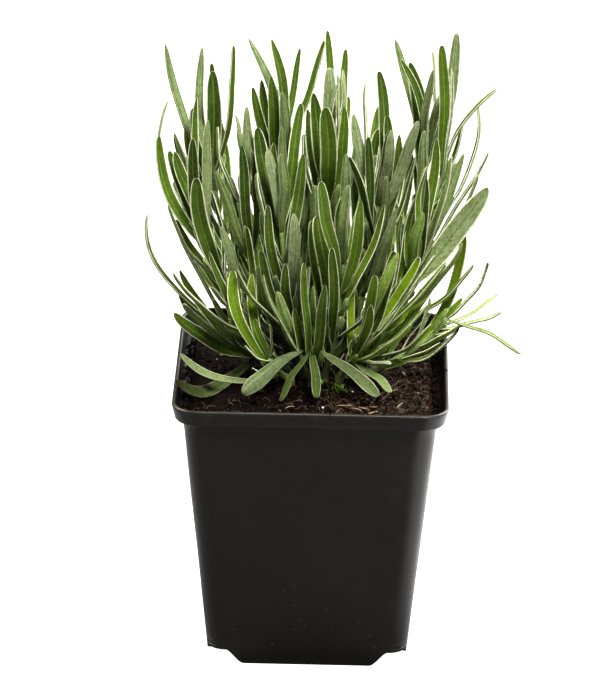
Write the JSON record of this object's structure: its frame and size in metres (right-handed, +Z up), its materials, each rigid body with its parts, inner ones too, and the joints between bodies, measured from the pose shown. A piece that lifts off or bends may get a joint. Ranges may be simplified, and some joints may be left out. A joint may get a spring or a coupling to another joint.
{
  "type": "potted lavender",
  "caption": "Young lavender plant with narrow grey-green leaves, growing in peaty soil in a black square tapered nursery pot.",
  "frame": {"origin": "middle of the whole plant's bounding box, at the level of the surface that the pot stands on", "axes": "+Z up, +X to the right and -Y to the front as the picture shows the plant, square to the pot's sides"},
  "size_m": [0.1252, 0.0998, 0.206],
  "materials": {
    "pot_plastic": "satin black moulded plastic",
    "peat": "rough, dark, crumbly peat",
    "leaf": "matt, finely felted grey-green"
  },
  "bodies": {
    "root": {"pot": "pot_plastic", "soil": "peat", "shoot_left_rear": "leaf", "shoot_left_front": "leaf", "shoot_left_inner": "leaf", "shoot_left_low": "leaf", "shoot_centre_left": "leaf", "shoot_centre_left_front": "leaf", "shoot_centre": "leaf", "shoot_centre_front": "leaf", "shoot_right_centre": "leaf", "shoot_right_front": "leaf", "shoot_right_rear": "leaf", "shoot_right_outer": "leaf", "shoot_right_low": "leaf", "shoot_front_right": "leaf", "shoot_front_left": "leaf", "shoot_front": "leaf", "shoot_back_left": "leaf", "shoot_back_right": "leaf", "shoot_back": "leaf"}
  },
  "joints": []
}
